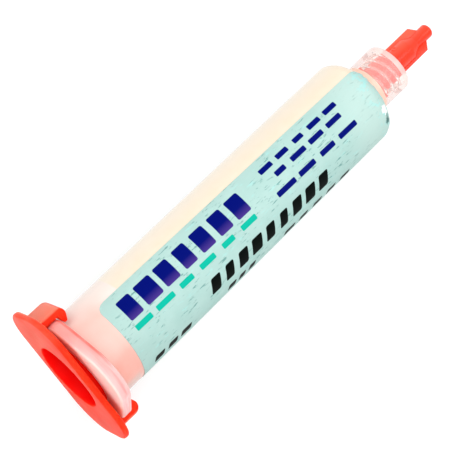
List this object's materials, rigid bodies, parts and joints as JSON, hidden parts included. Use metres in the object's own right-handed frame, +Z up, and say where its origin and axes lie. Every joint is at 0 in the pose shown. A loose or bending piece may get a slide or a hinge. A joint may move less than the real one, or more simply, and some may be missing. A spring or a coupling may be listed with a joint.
{
  "type": "flux syringe",
  "caption": "Capped solder-flux syringe: clear barrel with eared flange and Luer-lock collar, cream paste, piston, wrapped film label, red hooked end cap and red finned tip cap.",
  "frame": {"origin": "on the ground, under the middle of the syringe as it lies at rest", "axes": "+X along the ground toward the tip cap, +Z up"},
  "size_m": [0.103, 0.0298, 0.0267],
  "materials": {
    "barrel": "clear natural polypropylene, glossy, slightly milky",
    "piston": "natural polyethylene, satin",
    "flux_paste": "cream paste, wet gloss",
    "label": "printed film, satin, creased and scuffed at its front edge",
    "end_cap": "red polyethylene, semi-gloss",
    "tip_cap": "red polyethylene, glossy"
  },
  "bodies": {
    "syringe": {"barrel": "barrel", "label": "label", "flux_paste": "flux_paste", "end_cap": "end_cap"},
    "piston": {"piston": "piston"},
    "tip_cap": {"tip_cap": "tip_cap"}
  },
  "joints": [
    {"name": "piston_slide", "type": "slide", "parent": "syringe", "child": "piston", "axis": [0.9986, 0, -0.0531], "range_m": [0, 0.0605], "deforming": ["flux_paste"]},
    {"name": "tip_cap_off", "type": "slide", "parent": "syringe", "child": "tip_cap", "axis": [0.9986, 0, -0.0531], "range_m": [0, 0.012]}
  ]
}
